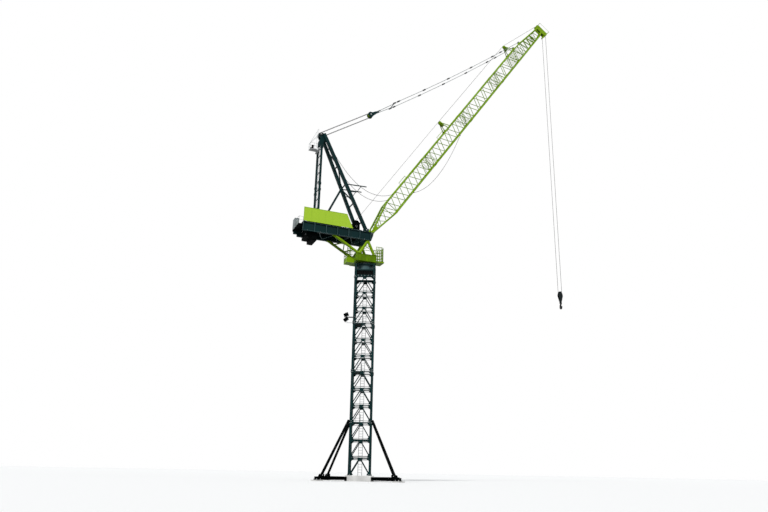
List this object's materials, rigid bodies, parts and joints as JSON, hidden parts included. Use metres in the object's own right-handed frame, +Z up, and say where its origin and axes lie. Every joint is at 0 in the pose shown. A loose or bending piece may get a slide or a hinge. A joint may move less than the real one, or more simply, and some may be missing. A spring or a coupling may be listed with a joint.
{
  "type": "luffing tower crane, 1:20 scale model",
  "caption": "Free-standing luffing tower crane at 1:20: lattice mast on a strutted base, slewing deck with bare side panels and A-frame, raised lattice jib with pendants and hook on rope falls.",
  "frame": {"origin": "centre of the plinth's underside, on the slewing axis at floor level", "axes": "+X under the jib, +Y to the operator's left, +Z up along the mast; the tower stands turned 23.1 degrees clockwise under the jib"},
  "size_m": [1.9695, 0.621, 3.5057],
  "materials": {
    "concrete": "rough pale concrete",
    "black_steel": "satin black paint",
    "teal_steel": "satin dark teal paint",
    "grey_steel": "galvanised grey",
    "green_steel": "satin green paint",
    "lime_panel": "flat lime paint",
    "rope": "greased wire rope",
    "sheave": "dark cast iron",
    "cable": "black rubber",
    "hook_paint": "satin dark paint"
  },
  "bodies": {
    "tower": {"plinth": "concrete", "ground_beams": "black_steel", "foot_pads": "concrete", "base_struts": "black_steel", "mast_left": "teal_steel", "mast_right": "teal_steel", "mast_front_bracing": "teal_steel", "mast_rear_bracing": "teal_steel", "mast_landings": "black_steel", "mast_ladder": "grey_steel", "floodlights": "black_steel", "pedestal": "teal_steel", "slew_ring": "grey_steel"},
    "upper": {"a_frame_front": "teal_steel", "a_frame_head": "teal_steel", "a_frame_ties": "teal_steel", "back_stops": "teal_steel", "cable_high": "cable", "cable_low": "cable", "counterweights": "black_steel", "girder_left": "teal_steel", "girder_right": "teal_steel", "head_sheaves": "sheave", "hoist_rope_lower": "rope", "knee_strut": "teal_steel", "luffing_ropes": "rope", "machinery_deck": "black_steel", "pylon_left": "green_steel", "pylon_right": "green_steel", "rear_cabinet": "grey_steel", "rear_props": "green_steel", "service_platforms": "grey_steel", "side_panels": "lime_panel", "slew_deck": "green_steel", "slew_platforms": "green_steel", "winches": "black_steel"},
    "jib": {"jib_side_right": "green_steel", "jib_side_left": "green_steel", "jib_root_right": "green_steel", "jib_root_left": "green_steel", "jib_bracing_top": "green_steel", "jib_bracing_bottom": "green_steel", "jib_head": "green_steel", "jib_sheaves": "green_steel", "rope_posts": "green_steel", "hoist_rope_upper": "rope", "floating_block": "teal_steel", "spreader": "grey_steel", "pendants": "grey_steel", "cable_under": "cable"},
    "falls": {"dead_end_fork": "green_steel", "hoist_falls": "rope"},
    "block": {"hook_block": "hook_paint", "hook_sheave": "sheave"},
    "hook": {"hook": "hook_paint"}
  },
  "joints": [
    {"name": "slew", "type": "hinge", "parent": "tower", "child": "upper", "pos_m": [0, 0, 1.2626], "axis": [0, 0, 1], "continuous": true},
    {"name": "luff", "type": "hinge", "parent": "upper", "child": "jib", "pos_m": [0.0123, 0, 1.4495], "axis": [0, -1, 0], "range_deg": [-40, 30], "deforming": ["luffing_ropes", "hoist_rope_lower", "cable_high", "cable_low"]},
    {"name": "hook_hang", "type": "hinge", "parent": "jib", "child": "falls", "pos_m": [1.49228, 0, 3.44295], "axis": [0, -1, 0], "range_deg": [-30, 40]},
    {"name": "hoist", "type": "slide", "parent": "falls", "child": "block", "axis": [-0.0116, 0, -0.9999], "range_m": [-1.85, 1.1], "deforming": ["hoist_falls"]},
    {"name": "hook_swivel", "type": "hinge", "parent": "block", "child": "hook", "pos_m": [1.46628, 0, 1.2038], "axis": [0, 0, 1], "continuous": true}
  ],
  "couplings": [
    {"joint": "hook_hang", "follows": "luff", "ratio": -1}
  ]
}
